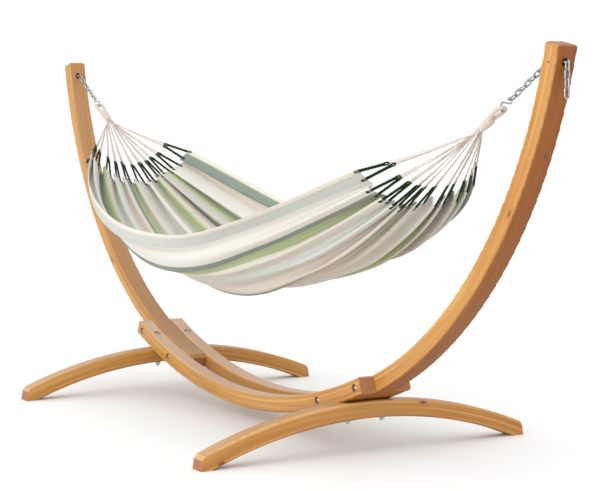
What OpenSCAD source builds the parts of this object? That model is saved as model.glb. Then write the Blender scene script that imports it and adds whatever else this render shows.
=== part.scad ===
// Gathered-end hammock hung in a free-standing frame of bent laminated beams.
// X runs along the stand, Y across it, Z is up.
// The origin is on the floor, under the middle of the stand.

/* [Beams] */
// Depth of every bent beam, measured across its laminations
beam_depth = 55; // [48:1:62]
// Width of each of the two rails
rail_w = 56; // [46:1:64]
// Width of the arms, which is also the gap between the rails
arm_w = 71; // [56:1:76]
// Width of the two feet
foot_w = 56; // [48:1:66]
// Radius on the long edges of the beams
edge = 6; // [3:0.5:8]

/* [Base arc] */
// Radius of the underside of the rails
rail_r = 2111; // [2050:1:2180]
// Height of the lowest point of the rails above the floor
rail_lift = 46; // [40:1:52]
// Angle from the middle of the base arc to each rail end
rail_end_a = 22.3; // [22:0.1:23]
// Angle at which each arm's lower end stops between the rails
arm_low_a = 13; // [12:0.1:13.6]

/* [Arms] */
// Radius of the middle line of the upper part of each arm
arm_r = 1447; // [1420:1:1480]
// Angle at which an arm leaves the base arc
arm_leave_a = 18.1; // [17:0.1:18.6]
// Angle of the top end of each arm
arm_top_a = 78; // [77:0.1:79]
// Height of the chain hole above the floor
hole_z = 1200; // [1185:1:1210]
// Diameter of the chain hole
hole_d = 24; // [23:0.5:26]

/* [Feet] */
// Distance of each foot from the middle of the stand
foot_x = 690; // [680:1:700]
// Half of the length of a foot
foot_half = 600; // [580:1:620]
// Height of the arch under the middle of a foot
arch_h = 108; // [104:1:112]
// Radius of the underside of the feet
foot_r = 1485; // [1440:1:1530]

/* [Bolts] */
// Diameter of the machine bolts
bolt_d = 10; // [8:1:12]
// Position along X of the outer cross bolt
bolt_out_x = 757; // [750:1:762]
// Position along X of the inner cross bolt
bolt_in_x = 537; // [530:1:560]
// Distance of the foot bolts from the middle line of each foot, towards the middle of the stand
foot_bolt_in = 12; // [0:1:13]

/* [Chain] */
// Wire diameter of the chain
wire_d = 5; // [4.5:0.1:5]
// Inner length of one chain link
link_in = 24; // [23.8:0.1:25]
// Outer width of one chain link
link_w = 19; // [18:0.1:19.4]
// Slope of the taut chain below the horizontal
chain_a = 31.5; // [30:0.1:33]
// Number of links between each arm and its hook, odd links lie flat
chain_links = 8; // [8:2:8]
// Number of links in each loose tail
tail_links = 4; // [2:1:5]

/* [Hammock] */
// Radius of the curve in which every lengthwise thread hangs
cloth_r = 1570; // [1540:1:1600]
// Half angle of that curve, which is also the slope of the cords
cloth_a = 37.4; // [37:0.1:38]
// Half angle to which the cloth is spread about its long axis
spread_a = 56; // [50:1:68]
// Thickness of the cloth body
cloth_t = 4; // [3:0.5:6]
// Length of the fabric loops at the cloth ends
loop_len = 100; // [80:1:110]
// Length of the suspension cords
cord_len = 300; // [290:1:320]
// Number of loops and cords at each end
cord_n = 22; // [12:1:26]

/* [Hidden] */
$fn = 64;
arc_z = rail_lift + rail_r;
mid_r = rail_r - beam_depth/2;
arm_cx = (mid_r - arm_r)*sin(arm_leave_a);
arm_cz = arc_z - (mid_r - arm_r)*cos(arm_leave_a);
rail_y = arm_w/2 + rail_w/2;
bolt_r = bolt_d/2;
bore_r = bolt_r + 0.25;
head_y = arm_w/2 + rail_w;
function arc_h(x) = arc_z - sqrt(mid_r*mid_r - x*x);
hole_half = sqrt(arm_r*arm_r - (arm_cz - hole_z)*(arm_cz - hole_z));
pin_x = arm_cx + hole_half + 2;
inner_x = arm_cx + sqrt(pow(arm_r - beam_depth/2, 2) - pow(arm_cz - hole_z, 2));
pitch = link_in - 0.1;
end_c = link_in/2 + wire_d/2;            // link middle to the middle of its end wire
pin_r = 3;
link0_x = pin_x - (link_in/2 - wire_d - 0.15 - pin_r);
bend_x = link0_x - pitch - end_c;        // where the taut chain turns downwards
foot_bolt_x = foot_x - foot_bolt_in;
seat_z = arc_z - sqrt(pow(rail_r - beam_depth, 2) - foot_bolt_x*foot_bolt_x) - 5;
hook_wire = 5;
hook_r1 = 8;
hook_r2 = 13;
hook_gap = 34;
rope_d = 12;
// positions down the taut chain, measured from the bend
link_u = link_in/2 - wire_d/2 - 1.5;   // room for the sideways swing
tail_u = link_in/2 - wire_d/2 - 0.8;
last_u = link_u + pitch*(chain_links - 1);
hook_u = last_u + end_c + hook_r1 - wire_d/2 - hook_wire/2 - 0.05;   // middle of the hook's eye
eye_u = hook_u + hook_gap + hook_r2 - hook_wire/2 - rope_d/2 - 0.1; // middle of the rope at the hook
eye_r = 15;
whip_u0 = eye_u + 50;
cloth_half = cloth_r*sin(cloth_a);
cord_total = cord_len + loop_len;
neck_x = cloth_half + cord_total*cos(cloth_a);
neck_u = (bend_x - neck_x)/cos(chain_a);
neck_z = hole_z - neck_u*sin(chain_a);
end_r = cord_total*sin(cloth_a);
low_r = end_r + cloth_r*(1 - cos(cloth_a));
cloth_c = low_r - cloth_r;
hem_a = 0.75;                            // the end hem's share of the curve
side_a = 2;                              // the side hems' share of the spread

// The rounded section of a beam, w wide and d deep.
module section(w, d, r) {
    square([d - 2*r, w], center = true);
    square([d, w - 2*r], center = true);
    for (x = [-1, 1]) for (y = [-1, 1]) translate([x*(d/2 - r), y*(w/2 - r)]) circle(r = r, $fn = 24);
}

// A bent beam: its section swept about an axis along Y.
module bent_beam(cx, cz, r, a0, a1, w, d, ch) {
    translate([cx, 0, cz]) rotate([90, 0, 0]) rotate([0, 0, a0 - 90])
        rotate_extrude(angle = a1 - a0, $fn = 256) translate([r, 0]) section(w, d, ch);
}

// Flat cuts that round the two edges of a beam end. The end face is z = 0,
// the edges run along X at a distance of hw from the middle.
module round_cuts(hw, r, long) {
    for (s = [-1, 1]) for (a = [15, 45, 75])
        translate([0, s*(hw - r), -r]) rotate([s > 0 ? a : 180 - a, 0, 0])
            translate([-long/2, r, -30]) cube([long, 30, 60]);
}

// A cylinder along Y.
module cyl_y(r, y0, y1) {
    translate([0, y0, 0]) rotate([-90, 0, 0]) cylinder(r = r, h = y1 - y0);
}

module arm() {
    difference() {
        union() {
            bent_beam(0, arc_z, mid_r, arm_low_a, arm_leave_a + 0.25, arm_w - 0.04, beam_depth - 0.04, edge);
            bent_beam(arm_cx, arm_cz, arm_r, arm_leave_a, arm_top_a, arm_w, beam_depth, edge);
        }
        // chain hole
        translate([inner_x - 60, 0, hole_z]) rotate([0, 90, 0]) cylinder(d = hole_d, h = 160);
        // cross pin bore
        translate([pin_x, 0, hole_z]) cyl_y(pin_r + 0.05, -arm_w, arm_w);
        // cross bolt bores
        for (x = [bolt_out_x, bolt_in_x]) translate([x, 0, arc_h(x)]) cyl_y(bore_r, -arm_w, arm_w);
        // rounded top end
        translate([arm_cx, 0, arm_cz]) rotate([0, 90 - arm_top_a, 0]) translate([arm_r, 0, 0]) {
            round_cuts(arm_w/2, 15, beam_depth*2);
            rotate([0, 0, 90]) round_cuts(beam_depth/2, 8, arm_w*2);
        }
        // eased corners of the lower end
        translate([0, 0, arc_z]) rotate([0, 90 - arm_low_a, 0])
            for (s = [-1, 1]) translate([mid_r + s*beam_depth/2, 0, 0]) rotate([0, 45, 0])
                cube([16, arm_w*2, 16], center = true);
    }
}

module rail(side) {
    translate([0, side*rail_y, 0]) difference() {
        bent_beam(0, arc_z, mid_r, -rail_end_a, rail_end_a, rail_w, beam_depth, edge);
        for (s = [-1, 1]) {
            // cross bolt bores with counterbores in the outer face
            for (x = [bolt_out_x, bolt_in_x]) translate([s*x, 0, arc_h(x)]) {
                cyl_y(bore_r, -rail_w, rail_w);
                if (side < 0) cyl_y(13, -rail_w, -rail_w/2 + 9);
                else cyl_y(13, rail_w/2 - 9, rail_w);
            }
            // vertical foot bolt bores with a level seat for the head
            translate([s*foot_bolt_x, 0, 0]) cylinder(r = bore_r, h = 400);
            translate([s*foot_bolt_x, 0, seat_z]) cylinder(r = 12, h = 60);
            // eased corners of the ends
            translate([0, 0, arc_z]) rotate([0, s*(90 - rail_end_a), 0])
                for (q = [-1, 1]) translate([s*(mid_r + q*beam_depth/2), 0, 0]) rotate([0, 45, 0])
                    cube([7, rail_w*2, 7], center = true);
        }
    }
}

module foot() {
    translate([foot_x, 0, 0]) difference() {
        intersection() {
            // arched beam, bent about an axis along X
            translate([0, 0, arch_h - foot_r]) rotate([0, 0, 90]) rotate([90, 0, 0]) rotate([0, 0, 60])
                rotate_extrude(angle = 60, $fn = 256)
                    translate([foot_r + beam_depth/2, 0]) section(foot_w, beam_depth, edge);
            // level floor faces and slightly raked ends
            rotate([90, 0, 0]) rotate([0, 90, 0]) translate([0, 0, -foot_w])
                linear_extrude(height = foot_w*2)
                    polygon([[-foot_half, 0], [foot_half, 0], [foot_half - 5, 32], [foot_half - 14, 46],
                        [foot_half - 14, 400], [-foot_half + 14, 400], [-foot_half + 14, 46], [-foot_half + 5, 32]]);
        }
        // housing for the rails and the arm
        translate([-foot_x, 0, arc_z]) rotate([90, 0, 0]) rotate([0, 0, 15 - 90])
            rotate_extrude(angle = 8, $fn = 256)
                translate([rail_r - beam_depth, -head_y - 0.5]) square([beam_depth, 2*head_y + 1]);
        for (y = [-rail_y, rail_y]) translate([-foot_bolt_in, y, 0]) cylinder(r = bore_r, h = 400);
    }
}

// A domed bolt head on its flat base at the origin, dome towards +Z.
module dome(r, h) {
    rr = (r*r + h*h)/(2*h);
    intersection() {
        translate([0, 0, h - rr]) sphere(r = rr, $fn = 64);
        cylinder(r = r, h = h + 1);
    }
}

module at_cross_bolts() {
    for (s = [-1, 1]) for (x = [bolt_out_x, bolt_in_x]) translate([s*x, 0, arc_h(x)]) children();
}

module at_foot_bolts() {
    for (s = [-1, 1]) for (y = [-rail_y, rail_y]) translate([s*foot_bolt_x, y, 0]) children();
}

module cross_bolts() {
    color("silver") at_cross_bolts() {
        cyl_y(bolt_r, -head_y + 9, head_y - 5);
        translate([0, -head_y + 7.4, 0]) rotate([90, 0, 0]) union() {
            translate([0, 0, 0.02]) dome(9.5, 6);
            translate([0, 0, -1.6]) cylinder(r = bolt_r, h = 2.4);
        }
    }
}

module ring(r_in, r_out, h) {
    difference() {
        cylinder(r = r_out, h = h);
        translate([0, 0, -1]) cylinder(r = r_in, h = h + 2);
    }
}

module cross_bolt_washers() {
    color("lightgray") at_cross_bolts() {
        translate([0, -head_y + 9, 0]) rotate([90, 0, 0]) ring(bore_r, 11.5, 1.6);
        translate([0, head_y - 9, 0]) rotate([-90, 0, 0]) ring(bore_r, 11.5, 1.6);
    }
}

module cross_bolt_cap_nuts() {
    color("silver") at_cross_bolts() translate([0, head_y - 7.4, 0]) rotate([-90, 0, 0])
        difference() {
            union() {
                cylinder(r = 9.2, h = 5, $fn = 6);
                translate([0, 0, 5]) dome(7.6, 5);
            }
            translate([0, 0, -1]) cylinder(r = bolt_r, h = 3.5);
        }
}

module foot_bolts() {
    color("silver") at_foot_bolts() {
        translate([0, 0, seat_z]) dome(9.5, 7);
        translate([0, 0, arch_h - 18]) cylinder(r = bolt_r, h = seat_z - arch_h + 18.1);
    }
}

foot_under = arch_h - (foot_r - sqrt(foot_r*foot_r - pow(rail_y + 10, 2)));
module foot_bolt_washers() {
    color("lightgray") at_foot_bolts() translate([0, 0, foot_under - 2.1]) ring(bore_r, 11, 2);
}

module foot_bolt_nuts() {
    color("silver") at_foot_bolts() translate([0, 0, foot_under - 10.2]) difference() {
        cylinder(r = 9.2, h = 8, $fn = 6);
        translate([0, 0, -1]) cylinder(r = bolt_r, h = 10);
    }
}

module anchor_pin() {
    translate([pin_x, 0, hole_z]) cyl_y(pin_r, -arm_w/2 + 3, arm_w/2 - 3);
}

// One chain link: long axis along X, flat in the XY plane.
module link() {
    cr = (link_w - wire_d)/2;
    st = link_in/2 + wire_d/2 - cr;
    for (s = [0, 180]) rotate([0, 0, s]) {
        translate([st, 0, 0]) rotate([0, 0, -90]) rotate_extrude(angle = 180)
            translate([cr, 0]) circle(d = wire_d, $fn = 32);
        translate([-st, cr, 0]) rotate([0, 90, 0]) cylinder(d = wire_d, h = 2*st, $fn = 32);
    }
}

module anchor_links() {
    translate([link0_x, 0, hole_z]) rotate([90, 0, 0]) link();
    translate([link0_x - pitch, 0, hole_z]) link();
    translate([link0_x + pitch, 0, hole_z]) link();
}

// Moves to the bend of the chain, with +X pointing down the taut chain.
module along_chain() {
    translate([bend_x, 0, hole_z]) rotate([0, 180 - chain_a, 0]) children();
}

module taut_chain() {
    along_chain() for (i = [0:chain_links - 1])
        translate([link_u + i*pitch, 0, 0]) rotate([i % 2 == 0 ? 90 : 0, 0, 0]) link();
}

module tail_chain() {
    translate([link0_x + pitch + end_c, 0, hole_z]) rotate([0, 90, 0])
        for (i = [0:tail_links - 1])
            translate([tail_u + i*pitch, 0, 0]) rotate([i % 2 == 0 ? 90 : 0, 0, 0]) link();
}

// An S hook in the XZ plane of the taut chain.
module hook() {
    hs = (hook_r1 + hook_r2)/hook_gap;
    ha = asin(hs);
    bar = sqrt(hook_gap*hook_gap - pow(hook_r1 + hook_r2, 2));
    along_chain() translate([hook_u, 0, 0]) rotate([90, 0, 0]) {
        rotate([0, 0, 90 - ha]) rotate_extrude(angle = 285)
            translate([hook_r1, 0]) circle(d = hook_wire, $fn = 32);
        translate([hook_r1*hs, hook_r1*cos(ha), 0]) rotate([0, 0, -ha]) rotate([0, 90, 0])
            translate([0, 0, -1]) cylinder(d = hook_wire - 0.3, h = bar + 2, $fn = 32);
        translate([hook_gap, 0, 0]) {
            rotate([0, 0, -90 - ha]) rotate_extrude(angle = 205 + ha)
                translate([hook_r2, 0]) circle(d = hook_wire, $fn = 32);
        }
    }
}

// Rope eye with its whipped neck.
module eye() {
    along_chain() {
        translate([eye_u + eye_r, 0, 0]) rotate([0, 0, 90]) rotate_extrude(angle = 180)
            translate([eye_r, 0]) circle(d = rope_d, $fn = 32);
        for (s = [-1, 1]) translate([eye_u + eye_r, s*eye_r, 0]) rotate([0, 90, 0])
            cylinder(d = rope_d, h = whip_u0 - eye_u - eye_r + 4, $fn = 32);
        translate([whip_u0, 0, 0]) rotate([0, 90, 0]) cylinder(r1 = 22.5, r2 = 12, h = neck_u - whip_u0);
    }
}

// Everything at a cloth end turns about the long axis through the necks.
module about_axis(a) {
    translate([0, 0, neck_z]) rotate([a, 0, 0]) children();
}

module cords() {
    // the cords run together near the neck
    translate([0, 0, neck_z]) rotate([0, 90, 0]) rotate([0, 0, -spread_a - 1.5])
        rotate_extrude(angle = 2*spread_a + 3, $fn = 128)
            polygon([for (p = [[4, -2.2], [68, -2.2], [68, 2.2], [4, 2.2]])
                [p[0]*sin(cloth_a) + p[1]*cos(cloth_a), neck_x - p[0]*cos(cloth_a) + p[1]*sin(cloth_a)]]);
    for (k = [0:cord_n - 1]) about_axis(-spread_a + (k + 0.5)*2*spread_a/cord_n)
        translate([neck_x, 0, 0]) rotate([0, -90 - cloth_a, 0])
            translate([0, 0, 67]) cylinder(d = 3.6, h = cord_len - 67, $fn = 16);
}

module loops() {
    for (k = [0:cord_n - 1]) about_axis(-spread_a + (k + 0.5)*2*spread_a/cord_n)
        translate([neck_x, 0, 0]) rotate([0, -90 - cloth_a, 0])
            translate([0, 0, cord_len]) cylinder(d = 6, h = loop_len - 0.2, $fn = 16);
}

// A band of the hanging surface: threads from angle b0 to b1 along the curve,
// spread from s0 to s1 about the long axis, t thick.
module cloth_band(b0, b1, s0, s1, t) {
    translate([0, 0, neck_z]) rotate([0, 90, 0]) rotate([0, 0, s0])
        rotate_extrude(angle = s1 - s0, $fn = 128)
            intersection() {
                translate([cloth_c, 0]) difference() {
                    circle(r = cloth_r + t/2, $fn = 256);
                    circle(r = cloth_r - t/2, $fn = 256);
                }
                translate([cloth_c, 0]) polygon([[0, 0],
                    [2*cloth_r*cos(b0), 2*cloth_r*sin(b0)],
                    [2*cloth_r*cos((b0 + b1)/2), 2*cloth_r*sin((b0 + b1)/2)],
                    [2*cloth_r*cos(b1), 2*cloth_r*sin(b1)]]);
            }
}

module hammock_cloth() {
    color("#c9d2cb") cloth_band(-cloth_a + hem_a, cloth_a - hem_a, -spread_a + side_a, spread_a - side_a, cloth_t);
}

module side_hem(s) {
    color("#e8e2d8") cloth_band(-cloth_a + hem_a, cloth_a - hem_a,
        s > 0 ? spread_a - side_a : -spread_a, s > 0 ? spread_a : -spread_a + side_a, cloth_t + 2);
}

module end_hem(s) {
    color("#e8e2d8") cloth_band(s > 0 ? cloth_a - hem_a : -cloth_a, s > 0 ? cloth_a : -cloth_a + hem_a,
        -spread_a, spread_a, cloth_t + 2);
}

// A plain fabric tag sewn to the outside of the front hem near the left end.
module edge_tag() {
    color("#202020") translate([0, 0, neck_z]) rotate([0, 90, 0]) rotate([0, 0, -spread_a - 4])
        rotate_extrude(angle = 6, $fn = 128)
            intersection() {
                translate([cloth_c, 0]) difference() {
                    circle(r = cloth_r + cloth_t/2 + 2.6, $fn = 256);
                    circle(r = cloth_r + cloth_t/2 + 1.2, $fn = 256);
                }
                translate([cloth_c, 0]) polygon([[0, 0],
                    [2*cloth_r*cos(cloth_a - 2), -2*cloth_r*sin(cloth_a - 2)],
                    [2*cloth_r*cos(cloth_a - 3.2), -2*cloth_r*sin(cloth_a - 3.2)]]);
            }
}

module left_side() { mirror([1, 0, 0]) children(); }

color("#d99a4e") left_side() arm();  // left_arm
color("#d99a4e") arm();  // right_arm
color("#d99a4e") rail(-1);  // front_rail
color("#d99a4e") rail(1);  // back_rail
color("#d99a4e") left_side() foot();  // left_foot
color("#d99a4e") foot();  // right_foot
cross_bolts();
cross_bolt_washers();
cross_bolt_cap_nuts();
foot_bolts();
foot_bolt_washers();
foot_bolt_nuts();
color("gray") left_side() anchor_pin();  // left_anchor_pin
color("gray") anchor_pin();  // right_anchor_pin
color("silver") left_side() anchor_links();  // left_anchor_links
color("silver") anchor_links();  // right_anchor_links
color("silver") left_side() taut_chain();  // left_chain
color("silver") taut_chain();  // right_chain
color("silver") left_side() hook();  // left_hook
color("silver") hook();  // right_hook
color("silver") left_side() tail_chain();  // left_tail
color("silver") tail_chain();  // right_tail
hammock_cloth();
side_hem(-1);  // front_hem
side_hem(1);  // back_hem
end_hem(-1);  // left_end_hem
end_hem(1);  // right_end_hem
color("#2a4a2c") left_side() loops();  // left_loops
color("#2a4a2c") loops();  // right_loops
color("#efe9e2") left_side() cords();  // left_cords
color("#efe9e2") cords();  // right_cords
color("#efe9e2") left_side() eye();  // left_eye
color("#efe9e2") eye();  // right_eye
edge_tag();
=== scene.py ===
import bpy, math
import numpy as np
from mathutils import Matrix, Vector


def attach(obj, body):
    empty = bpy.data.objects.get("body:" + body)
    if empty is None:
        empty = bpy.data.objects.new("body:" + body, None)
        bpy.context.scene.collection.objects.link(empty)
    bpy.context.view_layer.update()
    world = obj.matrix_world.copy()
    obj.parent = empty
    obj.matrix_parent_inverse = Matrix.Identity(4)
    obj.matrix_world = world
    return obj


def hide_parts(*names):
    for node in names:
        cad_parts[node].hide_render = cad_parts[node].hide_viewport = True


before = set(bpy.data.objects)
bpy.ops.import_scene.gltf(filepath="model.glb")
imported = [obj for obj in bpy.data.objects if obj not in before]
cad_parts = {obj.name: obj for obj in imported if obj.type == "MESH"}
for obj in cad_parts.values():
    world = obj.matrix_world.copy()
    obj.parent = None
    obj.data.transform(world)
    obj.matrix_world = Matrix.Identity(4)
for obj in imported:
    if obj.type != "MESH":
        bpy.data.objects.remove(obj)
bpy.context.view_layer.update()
rng = np.random.default_rng(7)

# ------------------------------------------------------------------ camera
def make_camera():
    ya, pi, roll = math.radians(59.328), math.radians(-4.717), math.radians(0.344)
    fwd = Vector((-math.sin(ya)*math.cos(pi), math.cos(ya)*math.cos(pi), math.sin(pi)))
    right = Vector((math.cos(ya), math.sin(ya), 0))
    up = right.cross(fwd)
    r2 = right*math.cos(roll) + up*math.sin(roll)
    u2 = -right*math.sin(roll) + up*math.cos(roll)
    cam = bpy.data.cameras.new("camera")
    cam.sensor_width = 36.0
    cam.lens = 36.0*1707.94/600.0
    cam.clip_end = 100
    ob = bpy.data.objects.new("camera", cam)
    m = Matrix((r2, u2, -fwd)).transposed().to_4x4()
    m.translation = Vector((5.1456, -2.8904, 1.085))
    ob.matrix_world = m
    bpy.context.scene.collection.objects.link(ob)
    bpy.context.scene.camera = ob
make_camera()

# ------------------------------------------------------------------ node helpers
def lin(hexs):
    h = hexs.lstrip("#")
    c = [int(h[i:i+2], 16)/255 for i in (0, 2, 4)]
    return tuple(x/12.92 if x <= 0.04045 else ((x + 0.055)/1.055)**2.4 for x in c) + (1.0,)

class G:
    """A small builder of shader nodes."""
    def __init__(self, name):
        self.m = bpy.data.materials.new(name)
        self.m.use_nodes = True
        self.t = self.m.node_tree
        self.t.nodes.clear()
        self.out = self.t.nodes.new("ShaderNodeOutputMaterial")
        self.b = self.t.nodes.new("ShaderNodeBsdfPrincipled")
        self.t.links.new(self.b.outputs[0], self.out.inputs[0])
    def link(self, a, b):
        self.t.links.new(a, b)
    def put(self, sock, v):
        if hasattr(v, "is_output"):
            self.t.links.new(v, sock)
        elif v is not None:
            sock.default_value = v
    def math(self, op, a, b=None, c=None, clamp=False):
        n = self.t.nodes.new("ShaderNodeMath"); n.operation = op; n.use_clamp = clamp
        for i, v in enumerate((a, b, c)):
            self.put(n.inputs[i], v)
        return n.outputs[0]
    def comb(self, x, y, z):
        n = self.t.nodes.new("ShaderNodeCombineXYZ")
        for i, v in enumerate((x, y, z)):
            self.put(n.inputs[i], v)
        return n.outputs[0]
    def coords(self, kind="Object"):
        n = self.t.nodes.new("ShaderNodeTexCoord")
        s = self.t.nodes.new("ShaderNodeSeparateXYZ")
        self.link(n.outputs[kind], s.inputs[0])
        return s.outputs[0], s.outputs[1], s.outputs[2]
    def noise(self, vec, scale, detail=3, rough=0.55, dist=0.0):
        n = self.t.nodes.new("ShaderNodeTexNoise")
        self.put(n.inputs["Vector"], vec)
        n.inputs["Scale"].default_value = scale
        n.inputs["Detail"].default_value = detail
        n.inputs["Roughness"].default_value = rough
        n.inputs["Distortion"].default_value = dist
        return n.outputs["Fac"] if "Fac" in n.outputs else n.outputs[0]
    def voronoi(self, vec, scale, feature="F1", out="Distance"):
        n = self.t.nodes.new("ShaderNodeTexVoronoi"); n.feature = feature
        self.put(n.inputs["Vector"], vec); n.inputs["Scale"].default_value = scale
        return n.outputs[out]
    def white(self, v):
        n = self.t.nodes.new("ShaderNodeTexWhiteNoise"); n.noise_dimensions = "1D"
        self.put(n.inputs["W"], v)
        return n.outputs["Value"]
    def ramp(self, fac, stops, interp="LINEAR"):
        n = self.t.nodes.new("ShaderNodeValToRGB")
        n.color_ramp.interpolation = interp
        e = n.color_ramp.elements
        while len(e) > 1:
            e.remove(e[-1])
        e[0].position = stops[0][0]; e[0].color = stops[0][1]
        for p, c in stops[1:]:
            x = e.new(p); x.color = c
        self.put(n.inputs[0], fac)
        return n.outputs[0]
    def mix(self, fac, a, b, mode="MIX"):
        n = self.t.nodes.new("ShaderNodeMix"); n.data_type = "RGBA"; n.blend_type = mode
        self.put(n.inputs[0], fac); self.put(n.inputs[6], a); self.put(n.inputs[7], b)
        return n.outputs[2]
    def maprange(self, v, a, b, c=0.0, d=1.0, smooth=False):
        n = self.t.nodes.new("ShaderNodeMapRange")
        if smooth: n.interpolation_type = "SMOOTHSTEP"
        self.put(n.inputs[0], v)
        for i, x in enumerate((a, b, c, d)):
            n.inputs[i + 1].default_value = x
        return n.outputs[0]
    def bump(self, height, strength, dist):
        n = self.t.nodes.new("ShaderNodeBump")
        n.inputs["Strength"].default_value = strength
        n.inputs["Distance"].default_value = dist
        self.put(n.inputs["Height"], height)
        self.link(n.outputs[0], self.b.inputs["Normal"])
    def set(self, **kw):
        for k, v in kw.items():
            self.put(self.b.inputs[k.replace("_", " ")], v)

# ------------------------------------------------------------------ wood
ARC_Z = 2.157
def wood(name, kind):
    g = G(name)
    X, Y, Z = g.coords("Object")
    NX, NY, NZ = g.coords("Normal")
    ax = g.math("ABSOLUTE", X)
    if kind == "foot":
        a, h, w, na, nh = Y, g.math("ADD", Z, 1.377), X, NY, NZ
        rho = g.math("SQRT", g.math("ADD", g.math("MULTIPLY", a, a), g.math("MULTIPLY", h, h)))
        d = g.math("SUBTRACT", rho, 1.4850 + 0.0275)
        s = g.math("MULTIPLY", g.math("ARCTAN2", a, h), 1.5125)
        t = g.math("ABSOLUTE", g.math("DIVIDE", g.math("SUBTRACT", g.math("MULTIPLY", na, h), g.math("MULTIPLY", nh, a)), rho))
        under = g.math("MULTIPLY", g.math("DIVIDE", g.math("ADD", g.math("MULTIPLY", na, a), g.math("MULTIPLY", nh, h)), rho), -1.0)
        w = g.math("ADD", w, 3.7)
    else:
        h = g.math("SUBTRACT", ARC_Z, Z)
        rho = g.math("SQRT", g.math("ADD", g.math("MULTIPLY", X, X), g.math("MULTIPLY", h, h)))
        d = g.math("SUBTRACT", 2.0835, rho)
        ang = g.math("ARCTAN2", X, h)
        s = g.math("MULTIPLY", ang, 2.0835)
        t = g.math("ABSOLUTE", g.math("DIVIDE", g.math("ADD", g.math("MULTIPLY", NX, h), g.math("MULTIPLY", NZ, X)), rho))
        under = g.math("DIVIDE", g.math("SUBTRACT", g.math("MULTIPLY", NX, X), g.math("MULTIPLY", NZ, h)), rho)
        w = Y
        if kind == "arm":
            x2 = g.math("SUBTRACT", ax, 0.19775)
            h2 = g.math("SUBTRACT", 1.5520, Z)
            rho2 = g.math("SQRT", g.math("ADD", g.math("MULTIPLY", x2, x2), g.math("MULTIPLY", h2, h2)))
            d2 = g.math("SUBTRACT", 1.447, rho2)
            s2 = g.math("ADD", g.math("MULTIPLY", g.math("ARCTAN2", x2, h2), 1.447), 0.2011)
            nax = g.math("MULTIPLY", NX, g.math("SIGN", X))
            t2 = g.math("ABSOLUTE", g.math("DIVIDE", g.math("ADD", g.math("MULTIPLY", nax, h2), g.math("MULTIPLY", NZ, x2)), rho2))
            k = g.math("GREATER_THAN", g.math("ARCTAN2", ax, h), math.radians(18.1))
            def sel(u, v):
                return g.math("ADD", g.math("MULTIPLY", k, v), g.math("MULTIPLY", g.math("SUBTRACT", 1.0, k), u))
            under2 = g.math("DIVIDE", g.math("SUBTRACT", g.math("MULTIPLY", nax, x2), g.math("MULTIPLY", NZ, h2)), rho2)
            s = sel(g.math("ABSOLUTE", s), s2); d = sel(d, d2); t = sel(t, t2); under = sel(under, under2)
            s = g.math("ADD", s, g.math("MULTIPLY", g.math("SIGN", X), 5.3))
        else:
            s = g.math("ADD", s, g.math("MULTIPLY", g.math("SIGN", Y), 2.7))
    lam = g.math("FLOOR", g.math("DIVIDE", g.math("ADD", d, 0.0275), 0.0110))
    frac = g.math("FRACT", g.math("DIVIDE", g.math("ADD", d, 0.0275), 0.0110))
    tone = g.white(g.math("ADD", lam, {"foot": 11.5, "arm": 5.5, "rail": 2.5}[kind]))
    off = g.math("MULTIPLY", lam, 1.37)
    # long streaks of the grain, finer across than along
    v1 = g.comb(g.math("MULTIPLY", s, 1.1), g.math("ADD", g.math("MULTIPLY", w, 46), off), g.math("MULTIPLY", d, 60))
    n1 = g.noise(v1, 1.0, 4, 0.6, 0.35)
    v2 = g.comb(g.math("MULTIPLY", s, 4.0), g.math("ADD", g.math("MULTIPLY", w, 260), off), g.math("MULTIPLY", d, 330))
    n2 = g.noise(v2, 1.0, 3, 0.6, 0.1)
    # growth rings: bands that wander
    v3 = g.comb(g.math("MULTIPLY", s, 0.7), g.math("ADD", g.math("MULTIPLY", w, 9), off), g.math("MULTIPLY", d, 14))
    n3 = g.noise(v3, 1.0, 2, 0.5, 0.2)
    ringc = g.math("ADD", g.math("MULTIPLY", n3, 9.0), g.math("MULTIPLY", g.math("ADD", w, d), 55))
    ring = g.math("POWER", g.math("ADD", g.math("MULTIPLY", g.math("SINE", g.math("MULTIPLY", ringc, 6.2832)), 0.5), 0.5), 2.5)
    v4 = g.comb(g.math("MULTIPLY", s, 1.6), g.math("MULTIPLY", w, 5), g.math("MULTIPLY", d, 5))
    n4 = g.noise(v4, 1.0, 2, 0.5)
    base = g.ramp(n1, [(0.30, lin("#ac7026")), (0.46, lin("#c48b40")), (0.60, lin("#d5a154")), (0.78, lin("#e4bd70"))])
    col = g.mix(g.math("MULTIPLY", ring, 0.30), base, lin("#a35c18"))
    col = g.mix(g.maprange(n2, 0.45, 0.75, 0.0, 0.22), col, lin("#8d4f1c"))
    col = g.mix(g.maprange(tone, 0, 1, 0.0, 0.26), col, lin("#e6b56c"))
    col = g.mix(g.maprange(n4, 0.42, 0.72, 0.0, 0.28), col, lin("#c0692a"))
    # glue lines between laminations
    line = g.math("LESS_THAN", g.math("MINIMUM", frac, g.math("SUBTRACT", 1.0, frac)), 0.030)
    col = g.mix(g.math("MULTIPLY", line, 0.38), col, lin("#7e4a1e"))
    # small knots
    kv = g.comb(g.math("MULTIPLY", s, 5.2), g.math("MULTIPLY", w, 15), g.math("MULTIPLY", d, 13))
    kn = g.voronoi(kv, 1.0)
    knot = g.maprange(kn, 0.085, 0.045, 0.0, 0.75)
    halo = g.maprange(kn, 0.20, 0.06, 0.0, 0.30)
    col = g.mix(halo, col, lin("#a8642c"))
    col = g.mix(knot, col, lin("#5d3418"))
    # painted shade: faces turned outward and down, the side away from the light, are multiplied to a deeper, redder
    # tone
    col = g.mix(g.maprange(under, 0.30, 0.90, 0.0, 1.0), col, lin("#dbb653"), "MULTIPLY")
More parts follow.
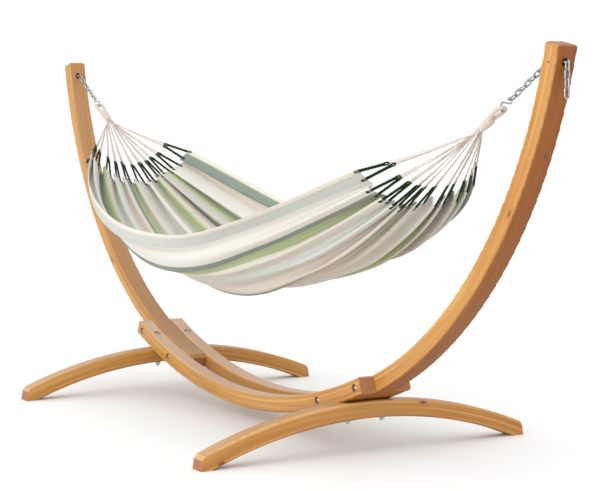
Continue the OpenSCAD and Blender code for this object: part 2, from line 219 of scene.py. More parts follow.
    # painted light: faces turned up are lightened towards a pale pinkish tone for the light and sheen falling on the
    # tops, most on the rails, patchy with the grain
    top = g.maprange(under, -0.30, -0.90, 0.0, {"foot": 0.30, "arm": 0.10, "rail": 0.62}[kind])
    col = g.mix(g.math("MULTIPLY", top, g.maprange(g.math("ADD", g.math("MULTIPLY", n1, 0.5), g.math("MULTIPLY", n4, 0.5)), 0.40, 0.60, 1.0, 0.45)), col, lin("#f1d4bd"))
    # end grain
    endm = g.maprange(t, 0.62, 0.80, 0.0, 1.0)
    er = g.math("SINE", g.math("MULTIPLY", g.math("ADD", g.math("MULTIPLY", d, 260), g.math("MULTIPLY", n3, 12)), 6.2832))
    endc = g.mix(g.maprange(er, -1, 1, 0.0, 0.55), lin("#bb8359"), lin("#99613f"))
    endc = g.mix(g.maprange(n2, 0.4, 0.7, 0.0, 0.4), endc, lin("#4e2e1d"))
    col = g.mix(endm, col, endc)
    ro = g.math("ADD", g.maprange(n1, 0.3, 0.7, 0.52, 0.40), g.math("MULTIPLY", endm, 0.25))
    g.set(Base_Color=col, Roughness=ro, IOR=1.5)
    g.b.inputs["Coat Weight"].default_value = 0.12
    g.b.inputs["Coat Roughness"].default_value = 0.30
    hgt = g.math("ADD", g.math("MULTIPLY", n2, 0.6), g.math("ADD", g.math("MULTIPLY", n1, 0.5), g.math("MULTIPLY", line, -0.8)))
    g.bump(hgt, 0.35, 0.0006)
    return g.m

def paint(node, mat):
    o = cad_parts[node]
    if len(o.material_slots) == 0:
        o.data.materials.append(mat)
    for sl in o.material_slots:
        sl.material = mat

M_RAIL, M_ARM, M_FOOT = wood("larch_rail", "rail"), wood("larch_arm", "arm"), wood("larch_foot", "foot")
for n in ("front_rail", "back_rail"): paint(n, M_RAIL)
for n in ("left_arm", "right_arm"): paint(n, M_ARM)
for n in ("left_foot", "right_foot"): paint(n, M_FOOT)

# ------------------------------------------------------------------ metal
def metal(name, c0, c1, rough, spangle):
    g = G(name)
    n = g.t.nodes.new("ShaderNodeTexCoord").outputs["Object"]
    big = g.noise(n, 90, 3, 0.6)
    fine = g.noise(n, 700, 2, 0.6)
    cell = g.voronoi(n, spangle, out="Distance")
    f = g.math("ADD", g.math("MULTIPLY", big, 0.6), g.math("MULTIPLY", cell, 0.5))
    col = g.ramp(f, [(0.25, lin(c0)), (0.7, lin(c1))])
    g.set(Base_Color=col, Roughness=g.math("ADD", g.math("MULTIPLY", big, 0.22), rough))
    g.b.inputs["Metallic"].default_value = 1.0
    g.bump(g.math("ADD", g.math("MULTIPLY", fine, 0.5), big), 0.25, 0.00025)
    return g.m
M_BOLT = metal("zinc_plate", "#84888c", "#c3c6c8", 0.16, 420)
M_GALV = metal("galvanised", "#7f8488", "#c6c9cb", 0.22, 300)
for n in ("cross_bolts", "cross_bolt_washers", "cross_bolt_cap_nuts", "foot_bolts", "foot_bolt_washers", "foot_bolt_nuts", "left_anchor_pin", "right_anchor_pin"):
    paint(n, M_BOLT)
for n in ("left_anchor_links", "right_anchor_links", "left_chain", "right_chain", "left_tail", "right_tail", "left_hook", "right_hook"):
    paint(n, M_GALV)

# ------------------------------------------------------------------ the hanging surface
WIRE, LINK_IN, CHAIN_A = 0.005, 0.024, math.radians(31.5)
PITCH, END_C = LINK_IN - 0.0001, LINK_IN/2 + WIRE/2
MID_R, ARM_R, LEAVE = 2.111 - 0.0275, 1.447, math.radians(18.1)
ARM_CX = (MID_R - ARM_R)*math.sin(LEAVE)
ARM_CZ = 2.157 - (MID_R - ARM_R)*math.cos(LEAVE)
PIN_X = ARM_CX + math.sqrt(ARM_R**2 - (ARM_CZ - 1.2)**2) + 0.002
BEND_X = PIN_X - (LINK_IN/2 - WIRE - 0.00015 - 0.003) - PITCH - END_C
LINK_U = LINK_IN/2 - WIRE/2 - 0.0015
HOOK_U = LINK_U + 7*PITCH + END_C + 0.008 - WIRE/2 - 0.0025 - 0.00005
EYE_U = HOOK_U + 0.034 + 0.013 - 0.0025 - 0.006 - 0.0001
CL_R, CL_A = 1.570, math.radians(37.4)
NECK_X = CL_R*math.sin(CL_A) + 0.400*math.cos(CL_A)
NECK_U = (BEND_X - NECK_X)/math.cos(CHAIN_A)
NECK_Z = 1.2 - NECK_U*math.sin(CHAIN_A)
def spread(b):
    """Half the angle the cloth takes about its long axis: wider at the gathered ends, narrower where it hangs free."""
    return math.radians(49 + 11*(b/CL_A)**2)
END_R = 0.400*math.sin(CL_A)
CL_C = END_R + CL_R*(1 - math.cos(CL_A)) - CL_R
L = 2*CL_R*CL_A
W = 1.24
NU, NV = 431, 181

def smooth_rows(a, sigma_m, du):
    k = int(math.ceil(3*sigma_m/du))
    x = np.arange(-k, k + 1)*du
    w = np.exp(-x*x/(2*sigma_m**2)); w /= w.sum()
    p = np.pad(a, (k, k), mode="edge")
    return np.convolve(p, w, mode="valid")

U = np.linspace(0, W, NU)
V = np.linspace(0, L, NV)
DU = U[1] - U[0]

def tips(seed, n_pairs):
    r = np.random.default_rng(seed)
    wa = 1 + 0.28*(r.random(n_pairs)*2 - 1)
    wb = 0.52 + 0.14*(r.random(n_pairs)*2 - 1)
    seq = []
    for i in range(n_pairs):
        seq += [wa[i], wb[i]]
    seq = np.array(seq + [0.8]); seq *= W/seq.sum()
    t = np.concatenate([[0], np.cumsum(seq)])
    strength = 0.85 + 0.3*r.random(n_pairs + 1)
    return t, seq, strength

def fold_pattern(seed, n_pairs, flip):
    """Broad faces (+1) and fold-backs (-1) along the width, with each fold's own strength."""
    t, seq, st = tips(seed, n_pairs)
    kind = np.zeros(NU); sc = np.ones(NU)
    for j in range(len(seq)):
        m = (U >= t[j]) & (U <= t[j + 1] + 1e-9)
        kind[m] = 1 if j % 2 == 0 else -1
        sc[m] = st[j//2]
    return t, kind, sc

T_L, K_L, S_L = fold_pattern(11, 10, False)
T_R, K_R, S_R = fold_pattern(23, 10, True)
T_M, K_M, S_M = fold_pattern(5, 4, False)
K_Ls = smooth_rows(K_L, 0.0045, DU); K_Rs = smooth_rows(K_R, 0.0045, DU)
K_Lw = smooth_rows(K_L, 0.016, DU); K_Rw = smooth_rows(K_R, 0.016, DU)
K_Mw = smooth_rows(K_M, 0.030, DU)
S_Ls, S_Rs = smooth_rows(S_L, 0.02, DU), smooth_rows(S_R, 0.02, DU)

def profile(v):
    """Angles of the cloth's cross profile against the spindle at distance v along the threads."""
    b = (v - L/2)/CL_R
    x, r = CL_R*math.sin(b), CL_C + CL_R*math.cos(b)
    width = 2*spread(b)*r
    dl, dr = v/L, 1 - v/L
    wl = 1/(1 + math.exp((dl - 0.50)/0.07)); wr = 1 - wl
    # folds are crisp at the ends and soften inwards
    ml = min(1, dl/0.30); mr = min(1, dr/0.30)
    kl = (1 - ml)*K_Ls + ml*K_Lw
    kr = (1 - mr)*K_Rs + mr*K_Rw
    mid = math.exp(-((dl - 0.5)/0.20)**2)
    lo, hi = 0.0, math.radians(165)
    def fold(k, A, B):
        return np.clip(k, 0, None)*A - np.clip(-k, 0, None)*B
    def angles(B):
        A = math.asin(min(1, 0.50*math.sin(min(B, math.pi/2))))
        # the pleats lap towards the back edge at the left end and towards the front edge at the right
        return (wl*S_Ls*fold(kl, A, B) - wr*S_Rs*fold(kr, A, B))*(1 - 0.45*mid) + 0.45*mid*fold(K_Mw, A, B)
    for _ in range(40):
        B = (lo + hi)/2
        tot = np.sum(np.cos(angles(B))[:-1] + np.cos(angles(B))[1:])*DU/2
        if tot > width: lo = B
        else: hi = B
    psi = angles(B)
    return b, x, r, psi, width

P = np.zeros((NV, NU, 3)); 
for j, v in enumerate(V):
    b, x, r, psi, width = profile(v)
    c, s = np.cos(psi), np.sin(psi)
    tan = np.concatenate([[0], np.cumsum((c[1:] + c[:-1])/2*DU)])
    hh = np.concatenate([[0], np.cumsum((s[1:] + s[:-1])/2*DU)])
    lintrend = np.linspace(hh[0], hh[-1], NU)
    hh = hh - lintrend
    hh -= (hh.max() + hh.min())/2*0.6
    phi = spread(b)*(2*tan/tan[-1] - 1)
    rr = r + hh*math.cos(b)
    P[j, :, 0] = x + hh*math.sin(b)
    P[j, :, 1] = rr*np.sin(phi)
    P[j, :, 2] = NECK_Z - rr*np.cos(phi)

# gentle lengthwise unevenness, the same each run
def lowfreq(seed, nu, nv, amp):
    r = np.random.default_rng(seed)
    a = r.normal(size=(nv, nu))
    ju = np.linspace(0, nu - 1, NU); jv = np.linspace(0, nv - 1, NV)
    rows = np.array([np.interp(ju, np.arange(nu), a[i]) for i in range(nv)])
    full = np.array([np.interp(jv, np.arange(nv), rows[:, k]) for k in range(NU)]).T
    ker = np.hanning(25); ker /= ker.sum()
    full = np.apply_along_axis(lambda m: np.convolve(np.pad(m, 12, mode="edge"), ker, mode="valid"), 1, full)
    full = np.apply_along_axis(lambda m: np.convolve(np.pad(m, 12, mode="edge"), ker, mode="valid"), 0, full)
    return amp*full

def normals(P):
    du = np.gradient(P, axis=1); dv = np.gradient(P, axis=0)
    n = np.cross(du, dv)
    return n/np.maximum(np.linalg.norm(n, axis=2, keepdims=True), 1e-12)

def relax(P, n, w):
    """Evens out each row's small kinks without moving the borders."""
    for _ in range(n):
        Q = P.copy()
        Q[1:-1] = (1 - w)*P[1:-1] + w*0.5*(P[:-2] + P[2:])
        P = Q
    return P
P = relax(P, 30, 0.5)
NRM = normals(P)
fade = np.sin(np.pi*np.clip(V/L, 0, 1))[:, None]
P = P + NRM*(lowfreq(3, 9, 9, 0.004)*fade)[:, :, None]
NRM = normals(P)

def slab(name, P, N, UV, t, crown=0.0):
    """A closed thin sheet: the grid P offset by t/2 to both sides along N."""
    nv, nu = P.shape[:2]
    top = (P + N*t/2).reshape(-1, 3); bot = (P - N*t/2).reshape(-1, 3)
    verts = np.vstack([top, bot])
    n = nv*nu
    idx = np.arange(n).reshape(nv, nu)
    a, b, c, d = idx[:-1, :-1].ravel(), idx[:-1, 1:].ravel(), idx[1:, 1:].ravel(), idx[1:, :-1].ravel()
    f1 = np.stack([a, b, c, d], 1); f2 = np.stack([d, c, b, a], 1) + n
    ring = np.concatenate([idx[0, :], idx[1:, -1], idx[-1, :-1][::-1], idx[1:-1, 0][::-1]])
    nx = np.roll(ring, -1)
    f3 = np.stack([nx, ring, ring + n, nx + n], 1)
    faces = np.vstack([f1, f2, f3])
    uv = np.vstack([UV.reshape(-1, 2), UV.reshape(-1, 2)])
    return mesh(name, verts, faces, uv)

def mesh(name, verts, faces, uv=None, smooth=True):
    me = bpy.data.meshes.new(name)
    me.vertices.add(len(verts)); me.vertices.foreach_set("co", np.asarray(verts, dtype=np.float32).ravel())
    f = np.asarray(faces, dtype=np.int32)
    k = f.shape[1]
    me.loops.add(f.size); me.loops.foreach_set("vertex_index", f.ravel())
    me.polygons.add(len(f))
    me.polygons.foreach_set("loop_start", np.arange(0, f.size, k, dtype=np.int32))
    me.polygons.foreach_set("loop_total", np.full(len(f), k, dtype=np.int32))
    me.update(calc_edges=True)
    me.validate()
    me.polygons.foreach_set("use_smooth", np.full(len(me.polygons), smooth))
    if uv is not None:
        l = me.uv_layers.new(name="rest")
        vi = np.zeros(len(me.loops), dtype=np.int32); me.loops.foreach_get("vertex_index", vi)
        l.data.foreach_set("uv", np.asarray(uv, dtype=np.float32)[vi].ravel())
    me.update()
    o = bpy.data.objects.new(name, me)
    bpy.context.scene.collection.objects.link(o)
    return o

UVG = np.stack(np.meshgrid(U, V), axis=2)          # [nv, nu, (u, v)] in metres
HEM = 0.018
EHEM = 0.011

# ------------------------------------------------------------------ cloth materials
MINT, WHITE, DARK, OLIVE, IVORY = "#cad2cb", "#e9e6df", "#71847a", "#afbe8a", "#e6dfd5"
PALE, BEIGE, SAGE, GREEN, GREYB = "#dce1db", "#e2d8cd", "#a3b1a2", "#bccb99", "#cfc9c2"
STRIPES = [(6.5, MINT), (9.5, WHITE), (3.5, DARK), (4.0, OLIVE), (8, IVORY), (8.8, PALE), (7, BEIGE), (3.5, DARK), (3.6, GREEN),
           (6, BEIGE), (4, MINT), (9, WHITE), (4, GREYB), (6, GREEN), (5, BEIGE), (4, DARK), (6, GREYB), (5, GREEN), (4.6, SAGE),
           (8.5, WHITE), (5, BEIGE), (5.5, DARK), (3.0, OLIVE)]
def cloth_material(name, stripes):
    g = G(name)
    n = g.t.nodes.new("ShaderNodeUVMap"); n.uv_map = "rest"
    s = g.t.nodes.new("ShaderNodeSeparateXYZ"); g.link(n.outputs[0], s.inputs[0])
    u, v = s.outputs[0], s.outputs[1]
    vec = g.comb(g.math("MULTIPLY", u, 900), g.math("MULTIPLY", v, 12), 0.0)
    thr = g.noise(vec, 1.0, 2, 0.6)
    vec2 = g.comb(g.math("MULTIPLY", u, 12), g.math("MULTIPLY", v, 700), 3.0)
    thr2 = g.noise(vec2, 1.0, 2, 0.6)
    if stripes:
        tot = sum(w for w, c in stripes)
        stops, acc = [], 0.0
        for w, c in stripes:
            stops.append((acc/tot, lin(c))); acc += w
        uu = g.math("ADD", u, g.math("MULTIPLY", g.math("SUBTRACT", thr2, 0.5), 0.0009))
        base = g.ramp(g.math("DIVIDE", uu, W), stops, "CONSTANT")
    else:
        base = g.mix(0.0, lin("#ece6da"), lin("#ece6da"))
    col = g.mix(g.maprange(thr, 0.3, 0.75, 0.0, 0.20), base, lin("#fbf8f0"))
    col = g.mix(g.maprange(thr2, 0.45, 0.8, 0.0, 0.10), col, lin("#8f897c"))
    # weave: warp and weft crowns, 1.4 mm apart
    k = 2*math.pi/0.0014
    wa = g.math("SINE", g.math("MULTIPLY", u, k)); we = g.math("SINE", g.math("MULTIPLY", v, k))
    tw = g.math("SINE", g.math("MULTIPLY", g.math("ADD", u, v), k/2))
    wv = g.math("ADD", g.math("MULTIPLY", g.math("MULTIPLY", wa, we), 0.5), g.math("MULTIPLY", tw, 0.35))
    # painted shade: the colour darkens in the low hollows of the weave, following the same height that drives the bump
    col = g.mix(g.maprange(wv, -0.85, 0.2, 0.12, 0.0), col, lin("#6d675c"))
    big = g.noise(g.comb(g.math("MULTIPLY", u, 6), g.math("MULTIPLY", v, 3), 0.0), 1.0, 3, 0.6)
    col = g.mix(g.maprange(big, 0.35, 0.7, 0.0, 0.07), col, lin("#b9ad98"))
    g.set(Base_Color=col, Roughness=0.88)
    g.b.inputs["Sheen Weight"].default_value = 0.22
    g.b.inputs["Sheen Roughness"].default_value = 0.45
    g.b.inputs["Specular IOR Level"].default_value = 0.25
    g.bump(g.math("ADD", wv, g.math("MULTIPLY", thr, 0.8)), 0.45, 0.0004)
    return g.m

def cord_material(name, c0, c1, fibre=900, sheen=0.25):
    g = G(name)
    n = g.t.nodes.new("ShaderNodeUVMap"); n.uv_map = "rest"
    s = g.t.nodes.new("ShaderNodeSeparateXYZ"); g.link(n.outputs[0], s.inputs[0])
    a, l = s.outputs[0], s.outputs[1]
    fib = g.noise(g.comb(g.math("MULTIPLY", a, 14), g.math("MULTIPLY", l, fibre), 0.0), 1.0, 3, 0.65)
    o = g.t.nodes.new("ShaderNodeTexCoord").outputs["Object"]
    nn = g.noise(o, 160, 3, 0.6)
    col = g.ramp(g.math("ADD", g.math("MULTIPLY", fib, 0.55), g.math("MULTIPLY", nn, 0.45)), [(0.3, lin(c0)), (0.68, lin(c1))])
    g.set(Base_Color=col, Roughness=0.9)
    g.b.inputs["Sheen Weight"].default_value = sheen
    g.b.inputs["Specular IOR Level"].default_value = 0.2
    g.bump(fib, 0.4, 0.0004)
    return g.m

M_CLOTH = cloth_material("striped_weave", STRIPES)
M_HEM = cloth_material("hem_weave", None)
M_LOOP = cord_material("green_cord", "#081508", "#203c1c", sheen=0.05)
M_ROPE = cord_material("cotton_cord", "#b9a999", "#eee5db")
M_THREAD = cord_material("seam_thread", "#c9c0b0", "#f4efe6")
M_TAG = cord_material("tag_weave", "#0b0c0c", "#232524", sheen=0.05)

# ------------------------------------------------------------------ cloth pieces
def offset_grid(i0, i1, j0, j1):
    return P[j0:j1 + 1, i0:i1 + 1], NRM[j0:j1 + 1, i0:i1 + 1], UVG[j0:j1 + 1, i0:i1 + 1]

cloth = slab("cloth", P, NRM, UVG, 0.0012)
cloth.data.materials.append(M_CLOTH)
ih = int(round(HEM/DU))

def grid_at(us, vs):
    """P and normals at any rest coordinates, by bilinear lookup."""
    fu = np.clip(us/DU, 0, NU - 1.000001); fv = np.clip(vs/(V[1] - V[0]), 0, NV - 1.000001)
    i, j = fu.astype(int), fv.astype(int)
    a, b = (fu - i)[..., None], (fv - j)[..., None]
    def g(A):
        return (1 - a)*(1 - b)*A[j, i] + a*(1 - b)*A[j, i + 1] + (1 - a)*b*A[j + 1, i] + a*b*A[j + 1, i + 1]
    p, n = g(P), g(NRM)
    return p, n/np.linalg.norm(n, axis=-1, keepdims=True)

def hem_piece(name, side):
    """A turned hem: thicker than the cloth, rounded over the edge."""
    prof = np.array([0.0, 0.001, 0.003, 0.008, 0.013, 0.016, 0.018])
    if side in ("front", "back"):
        us = prof if side == "front" else W - prof[::-1]
        vs = V
        uu, vv = np.meshgrid(us, vs)
        e = uu if side == "front" else W - uu
    else:
        us = U
        vs = prof*EHEM/HEM if side == "left" else L - prof[::-1]*EHEM/HEM
        uu, vv = np.meshgrid(us, vs)
        e = (vv if side == "left" else L - vv)*HEM/EHEM
    p, n = grid_at(uu, vv)
    th = 0.0016 + 0.0016*np.sqrt(np.clip(e/0.003, 0, 1))*(1 - 0.5*np.clip((e - 0.014)/0.004, 0, 1))
    th = th + 0.0003*np.sin(vv*2*math.pi/0.011)*np.sin(uu*2*math.pi/0.017)
    nv, nu = p.shape[:2]
    top = p + n*(th/2)[..., None]; bot = p - n*(th/2)[..., None]
    Pm = (top + bot)/2
    o = slab2(name, top, bot, np.stack([uu, vv], 2))
    o.data.materials.append(M_HEM if side in ("front", "back") else M_CLOTH)
    return o

def slab2(name, top, bot, UV):
    nv, nu = top.shape[:2]
    n = nv*nu
    verts = np.vstack([top.reshape(-1, 3), bot.reshape(-1, 3)])
    idx = np.arange(n).reshape(nv, nu)
    a, b, c, d = idx[:-1, :-1].ravel(), idx[:-1, 1:].ravel(), idx[1:, 1:].ravel(), idx[1:, :-1].ravel()
    ring = np.concatenate([idx[0, :], idx[1:, -1], idx[-1, :-1][::-1], idx[1:-1, 0][::-1]])
    nx = np.roll(ring, -1)
    faces = np.vstack([np.stack([a, b, c, d], 1), np.stack([d, c, b, a], 1) + n, np.stack([nx, ring, ring + n, nx + n], 1)])
    return mesh(name, verts, faces, np.vstack([UV.reshape(-1, 2)]*2))

hems = {s: hem_piece(s + "_hem_visual", s) for s in ("front", "back", "left", "right")}

# ------------------------------------------------------------------ tubes
def frames(path):
    t = np.gradient(path, axis=0); t /= np.linalg.norm(t, axis=1, keepdims=True)
    n = np.zeros_like(t)
    a = np.array([0, 0, 1.0]) if abs(t[0, 2]) < 0.9 else np.array([1.0, 0, 0])
    v = np.cross(t[0], a); v /= np.linalg.norm(v); n[0] = v
    for i in range(1, len(t)):
        v = n[i - 1] - t[i]*np.dot(n[i - 1], t[i]); n[i] = v/np.linalg.norm(v)
    return t, n, np.cross(t, n)

def tube_arrays(path, rad, sides, ply=0, lay=0.012, depth=0.18, flat=None):
    """Vertices and faces of a capped tube. ply and lay carve a twisted cord's strands."""
    path = np.asarray(path, float)
    t, n, b = frames(path)
    seg = np.concatenate([[0], np.cumsum(np.linalg.norm(np.diff(path, axis=0), axis=1))])
    th = np.linspace(0, 2*math.pi, sides, endpoint=False)
    r = np.broadcast_to(np.asarray(rad, float), (len(path),))[:, None]
    if ply:
        r = r*(1 - depth*(1 - np.abs(np.cos(ply/2*(th[None, :] - 2*math.pi*seg[:, None]/lay)))))
    else:
        r = np.repeat(r, sides, axis=1)
    pts = path[:, None, :] + r[..., None]*(np.cos(th)[None, :, None]*n[:, None, :] + np.sin(th)[None, :, None]*b[:, None, :])
    m = len(path)
    verts = pts.reshape(-1, 3)
    idx = np.arange(m*sides).reshape(m, sides)
    nx = np.roll(idx, -1, axis=1)
    faces = np.stack([idx[:-1].ravel(), nx[:-1].ravel(), nx[1:].ravel(), idx[1:].ravel()], 1)
    tw = th[None, :]/(2*math.pi) + 0*seg[:, None]
    uv = np.stack([np.repeat(tw, 1, axis=0), np.repeat(seg[:, None], sides, axis=1)], 2).reshape(-1, 2)
    # round caps: one ring shrunk to a point at each end
    c0, c1 = path[0] - t[0]*r[0].mean()*0.5, path[-1] + t[-1]*r[-1].mean()*0.5
    verts = np.vstack([verts, c0, c1])
    uv = np.vstack([uv, [0, 0], [0, seg[-1]]])
    k0, k1 = m*sides, m*sides + 1
    caps = np.vstack([np.stack([idx[0], nx[0], np.full(sides, k0), np.full(sides, k0)], 1)[:, [1, 0, 2, 3]],
                      np.stack([idx[-1], nx[-1], np.full(sides, k1), np.full(sides, k1)], 1)])
    return verts, faces, caps[:, :3], uv

def tubes(name, items, mat):
    """One object from many tubes."""
    vs, fs, cs, us, off = [], [], [], [], 0
    for v, f, c, u in items:
        vs.append(v); fs.append(f + off); cs.append(c + off); us.append(u); off += len(v)
    verts, quads, tris, uv = np.vstack(vs), np.vstack(fs), np.vstack(cs), np.vstack(us)
    me = bpy.data.meshes.new(name)
    me.vertices.add(len(verts)); me.vertices.foreach_set("co", verts.astype(np.float32).ravel())
    lv = np.concatenate([quads.ravel(), tris.ravel()]).astype(np.int32)
    me.loops.add(len(lv)); me.loops.foreach_set("vertex_index", lv)
    nq, nt = len(quads), len(tris)
    me.polygons.add(nq + nt)
    st = np.concatenate([np.arange(nq)*4, nq*4 + np.arange(nt)*3]).astype(np.int32)
    me.polygons.foreach_set("loop_start", st)
    me.polygons.foreach_set("loop_total", np.concatenate([np.full(nq, 4), np.full(nt, 3)]).astype(np.int32))
    me.update(calc_edges=True); me.validate()
    me.polygons.foreach_set("use_smooth", np.full(len(me.polygons), True))
    l = me.uv_layers.new(name="rest")
    vi = np.zeros(len(me.loops), dtype=np.int32); me.loops.foreach_get("vertex_index", vi)
    l.data.foreach_set("uv", uv.astype(np.float32)[vi].ravel())
    me.update()
    o = bpy.data.objects.new(name, me)
    bpy.context.scene.collection.objects.link(o)
    o.data.materials.append(mat)
    return o

def spline(pts, n):
    """A smooth curve through points (Catmull-Rom), n samples."""
    p = np.asarray(pts, float)
    p = np.vstack([2*p[0] - p[1], p, 2*p[-1] - p[-2]])
    m = len(p) - 3
    out = []
    for q in np.linspace(0, m - 1e-9, n):
        i = int(q); t = q - i
        a, b, c, d = p[i], p[i + 1], p[i + 2], p[i + 3]
        out.append(0.5*((2*b) + (-a + c)*t + (2*a - 5*b + 4*c - d)*t*t + (-a + 3*b - 3*c + d)*t**3))
    return np.array(out)

# ------------------------------------------------------------------ seam threads, running stitches along the side hems
def stitch(u0, v0, v1, along_u=False):
    n = int((v1 - v0)/0.0008)
    q = np.linspace(v0, v1, n)
    us = np.full(n, u0) if not along_u else q
    vs = q if not along_u else np.full(n, u0)
    p, nn = grid_at(us, vs)
    off = 0.0019*np.clip(1.6*np.sin(2*math.pi*(q - v0)/0.008), -1, 1)
    return tube_arrays(p + nn*off[:, None], 0.00045, 5)
def on_hems():
    items = [stitch(0.0135, 0.004, L - 0.004), stitch(W - 0.0135, 0.004, L - 0.004),
             stitch(0.0098, 0.004, W - 0.004, True), stitch(L - 0.0098, 0.004, W - 0.004, True)]
    return tubes("seam_threads", items, M_THREAD)
threads = on_hems()

# ------------------------------------------------------------------ loops, cords and eyes
def chain_frame(sx):
    """Origin, direction down the chain, sideways and upward axes of one side."""
    o = np.array([sx*BEND_X, 0, 1.2])
    d = np.array([-sx*math.cos(CHAIN_A), 0, -math.sin(CHAIN_A)])
    y = np.array([0, 1.0, 0])
    return o, d, y, np.cross(d, y)*(1 if sx > 0 else -1)

def end_pieces(side):
    sx = -1 if side == "left" else 1
    T = T_L if side == "left" else T_R
    vv = 0.006 if side == "left" else L - 0.006
    o, d, y, z = chain_frame(sx)
    neck = o + d*NECK_U
    base_u = []
    for j in range(0, len(T) - 1, 2):
        base_u += [T[j] + (T[j + 1] - T[j])*0.12, T[j] + (T[j + 1] - T[j])*0.60]
    base_u = np.array(base_u)
    base_u[0], base_u[-1] = 0.009, W - 0.009
    bp, bn = grid_at(base_u, np.full(len(base_u), vv))
    r = np.random.default_rng(31 + sx)
    loops, cords = [], []
    n = len(base_u)
    # direction of each cord: fanned about the long axis, as in the frame
    for k in range(n):
        pair = k//2
        mid = 0.5*(bp[2*pair] + bp[min(2*pair + 1, n - 1)])
        start = bp[k]
        tocentre = neck - mid
        dist = np.linalg.norm(tocentre)
        tipc = mid + tocentre/dist*(0.098 + 0.014*r.random())
        side_v = bp[min(2*pair + 1, n - 1)] - bp[2*pair]
        side_v = side_v - tocentre*np.dot(side_v, tocentre)/dist**2
        ln = np.linalg.norm(side_v)
        side_v = side_v/ln if ln > 1e-6 else y
        tip = tipc + side_v*(0.0055 if k % 2 else -0.0055) + tocentre/dist*(0.004 if k % 2 else 0.0)
        dv = (tip - start); ln = np.linalg.norm(dv); dv /= ln
        wv = np.cross(dv, bn[k]); wv /= np.linalg.norm(wv)
        g = 0.0022 + 0.0004*r.random()
        # the loop leaves the hem, runs out, turns round the cord and comes back
        pts = [start - dv*0.011 + wv*g*1.1, start + dv*0.006 + wv*g*1.2, start + dv*ln*0.22 + wv*g, start + dv*ln*0.55 + wv*g, start + dv*ln*0.78 + wv*g*1.1,
               start + dv*(ln - 0.009) + wv*g*1.75, start + dv*(ln - 0.003) + wv*g*1.25, start + dv*ln,
               start + dv*(ln - 0.003) - wv*g*1.25, start + dv*(ln - 0.009) - wv*g*1.75, start + dv*ln*0.78 - wv*g*1.1,
               start + dv*ln*0.55 - wv*g, start + dv*ln*0.22 - wv*g, start + dv*0.006 - wv*g*1.2, start - dv*0.011 - wv*g*1.1]
        loops.append(tube_arrays(spline(pts, 150), 0.0029, 10, 3, 0.0120, 0.20))
        # two strands of the suspension cord from the loop's tip to the neck
        a = (k + 0.5)/n*2*math.pi
        for q, sgn in enumerate((-1, 1)):
            ang = a*1.0 + sgn*0.35
            rad = 0.0085*(0.45 + 0.55*r.random())
            e = neck + y*rad*math.sin((k + 0.5)/n*math.pi*2 - math.pi)*1.1 + z*rad*math.cos(ang) + d*0.004
            hook_pt = start + dv*(ln - 0.0040)
            p0 = hook_pt + wv*sgn*0.0016 + bn[k]*sgn*0.0006
            sag = np.array([0, 0, -1.0])*(0.002 + 0.003*r.random())
            q1 = 0.33*e + 0.67*p0 + sag; q2 = 0.66*e + 0.34*p0 + sag
            end = e - d*0.020
            pts = [p0 - (e - p0)/np.linalg.norm(e - p0)*0.001, p0 + (q1 - p0)*0.05, q1, q2, e, end]
            cords.append(tube_arrays(spline(pts, 120), 0.00125, 7, 2, 0.0075, 0.28))
    lo = tubes(side + "_loops_visual", loops, M_LOOP)
    co = tubes(side + "_cords_visual", cords, M_ROPE)
    # the eye: a thick wrapped loop of the gathered cords
    top_u = EYE_U
    c_u = top_u + 0.015
    hw = 0.015
    ey = []
    for a in np.linspace(0, math.pi, 13):
        ey.append((c_u - hw*math.sin(a), hw*math.cos(a)))
    legs = [(c_u + 0.012, -hw*0.97), (c_u + 0.024, -hw*0.80), (c_u + 0.037, -hw*0.52), (c_u + 0.050, -hw*0.34), (c_u + 0.064, -hw*0.26)]
    pts2 = [(u_, -v_) for u_, v_ in legs[::-1]] + ey + legs
    path = np.array([o + d*u_ + y*v_ for u_, v_ in pts2])
    path = spline(path, 420)
    m = len(path)
    s = np.linspace(-1, 1, m)
    rad = 0.0060 + 0.0010*np.abs(s)**3
    seg = np.concatenate([[0], np.cumsum(np.linalg.norm(np.diff(path, axis=0), axis=1))])
    items = [wrapped(path, rad, 24, 0.0026, 0.0007)]
    # whipping that draws the legs together, down to the fan of cords
    wl = np.array([o + d*q for q in np.linspace(c_u + 0.046, NECK_U + 0.004, 200)])
    qq = np.linspace(0, 1, 200)
    items.append(wrapped(wl, 0.0135 - 0.0035*qq + 0.0012*np.sin(qq*math.pi), 30, 0.0028, 0.0008))
    eye = tubes(side + "_eye_visual", items, M_ROPE)
    return lo, co, eye

def wrapped(path, rad, sides, lay, depth):
    """A tube with a thin cord wound round it."""
    v, f, c, uv = tube_arrays(path, rad, sides)
    t, n, b = frames(path)
    seg = np.concatenate([[0], np.cumsum(np.linalg.norm(np.diff(path, axis=0), axis=1))])
    th = np.linspace(0, 2*math.pi, sides, endpoint=False)
    r = np.broadcast_to(np.asarray(rad, float), (len(path),))[:, None]
    ph = seg[:, None]/lay - th[None, :]/(2*math.pi)
    r = r + depth*(np.abs(np.sin(math.pi*ph)) - 0.6)
    pts = path[:, None, :] + r[..., None]*(np.cos(th)[None, :, None]*n[:, None, :] + np.sin(th)[None, :, None]*b[:, None, :])
    v[:len(path)*sides] = pts.reshape(-1, 3)
    return v, f, c, uv

parts = {s: end_pieces(s) for s in ("left", "right")}

# ------------------------------------------------------------------ tag: a folded plain label on the front hem
def tag():
    v0, v1 = 0.053, 0.089
    vs = np.linspace(v0, v1, 13)
    p, n = grid_at(np.full(13, 0.004), vs)
    p2, _ = grid_at(np.full(13, 0.016), vs)
    out = np.array([-0.86, -0.42, -0.28]); out /= np.linalg.norm(out)
    q = np.linspace(0, 0.022, 9)
    grid = p[:, None, :] + out[None, None, :]*(q[None, :, None] - 0.003) + np.array([0, 0, -1.0])*(0.5*q[None, :, None]**2/0.09)
    N = normals(grid)
    uv = np.stack(np.meshgrid(q, vs), 2)
    o = slab("tag_visual", grid, N, uv, 0.0012)
    o.data.materials.append(M_TAG)
    return o
tagp = tag()

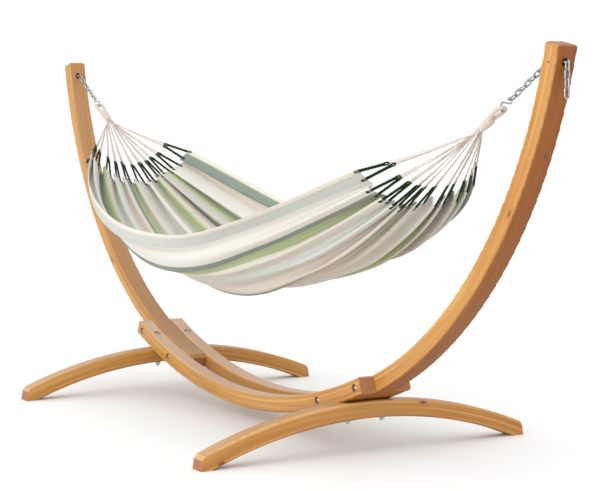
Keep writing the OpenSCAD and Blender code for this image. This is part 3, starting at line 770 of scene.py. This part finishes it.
# ------------------------------------------------------------------ bind to the frame
for o in [cloth, threads, tagp] + list(hems.values()) + [q for s in parts.values() for q in s]:
    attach(o, "hammock")
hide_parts("hammock_cloth")
for s, nd in (("front", "front_hem"), ("back", "back_hem"), ("left", "left_end_hem"), ("right", "right_end_hem")):
    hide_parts(nd)
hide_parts("edge_tag")
for s in ("left", "right"):
    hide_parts(s + "_loops")
    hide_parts(s + "_cords")
    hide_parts(s + "_eye")

# ------------------------------------------------------------------ floor, light
def stage():
    me = bpy.data.meshes.new("floor")
    R = 40
    me.from_pydata([(-R, -R, 0), (R, -R, 0), (R, R, 0), (-R, R, 0)], [], [(0, 1, 2, 3)])
    fl = bpy.data.objects.new("floor", me)
    bpy.context.scene.collection.objects.link(fl)
    # the floor looks pale, but throws less light back up than it shows
    g = G("pale_floor")
    t = g.t
    lp = t.nodes.new("ShaderNodeLightPath")
    d0 = t.nodes.new("ShaderNodeBsdfDiffuse"); d0.inputs[0].default_value = (0.80, 0.78, 0.76, 1)
    d1 = t.nodes.new("ShaderNodeBsdfDiffuse"); d1.inputs[0].default_value = (0.97, 0.97, 0.97, 1)
    mx = t.nodes.new("ShaderNodeMixShader")
    t.nodes.remove(g.b)
    t.links.new(lp.outputs["Is Camera Ray"], mx.inputs[0])
    t.links.new(d0.outputs[0], mx.inputs[1]); t.links.new(d1.outputs[0], mx.inputs[2])
    t.links.new(mx.outputs[0], g.out.inputs[0])
    me.materials.append(g.m)
    # a studio sky: brighter overhead and towards -X
    w = bpy.data.worlds.new("studio"); bpy.context.scene.world = w
    w.use_nodes = True
    t = w.node_tree
    bg = t.nodes["Background"]; out = t.nodes["World Output"]
    bg.inputs[0].default_value = (1, 1, 1, 1)
    tc = t.nodes.new("ShaderNodeTexCoord"); sp = t.nodes.new("ShaderNodeSeparateXYZ")
    t.links.new(tc.outputs["Generated"], sp.inputs[0])
    def wm(op, a, b):
        n = t.nodes.new("ShaderNodeMath"); n.operation = op
        for i, v in enumerate((a, b)):
            if hasattr(v, "is_output"): t.links.new(v, n.inputs[i])
            else: n.inputs[i].default_value = v
        return n.outputs[0]
    st = wm("ADD", wm("MULTIPLY", sp.outputs[2], 0.30), wm("MULTIPLY", sp.outputs[0], -0.04))
    st = wm("MAXIMUM", wm("ADD", st, 0.84), 0.05)
    t.links.new(st, bg.inputs[1])
    bg2 = t.nodes.new("ShaderNodeBackground"); bg2.inputs[0].default_value = (1, 1, 1, 1); bg2.inputs[1].default_value = 1.03
    lp2 = t.nodes.new("ShaderNodeLightPath"); mx2 = t.nodes.new("ShaderNodeMixShader")
    t.links.new(lp2.outputs["Is Camera Ray"], mx2.inputs[0])
    t.links.new(bg.outputs[0], mx2.inputs[1]); t.links.new(bg2.outputs[0], mx2.inputs[2])
    t.links.new(mx2.outputs[0], out.inputs[0])
    def area(name, loc, target, size, power, col=(1, 1, 1)):
        li = bpy.data.lights.new(name, "AREA"); li.energy = power; li.size = size; li.color = col
        ob = bpy.data.objects.new(name, li)
        ob.location = loc
        ob.rotation_euler = (Vector(target) - Vector(loc)).to_track_quat("-Z", "Y").to_euler()
        bpy.context.scene.collection.objects.link(ob)
    area("key", (1.4, -6.2, 3.4), (0, 0, 0.7), 2.6, 94)
    area("fill", (3.4, -5.4, 0.9), (0.4, 0, 0.8), 2.4, 78)
    area("top", (-1.0, 0.5, 6.0), (0, 0, 0.5), 4.5, 12)
stage()
sc = bpy.context.scene
sc.view_settings.view_transform = "Standard"
sc.view_settings.look = "None"
sc.view_settings.exposure = 0.0
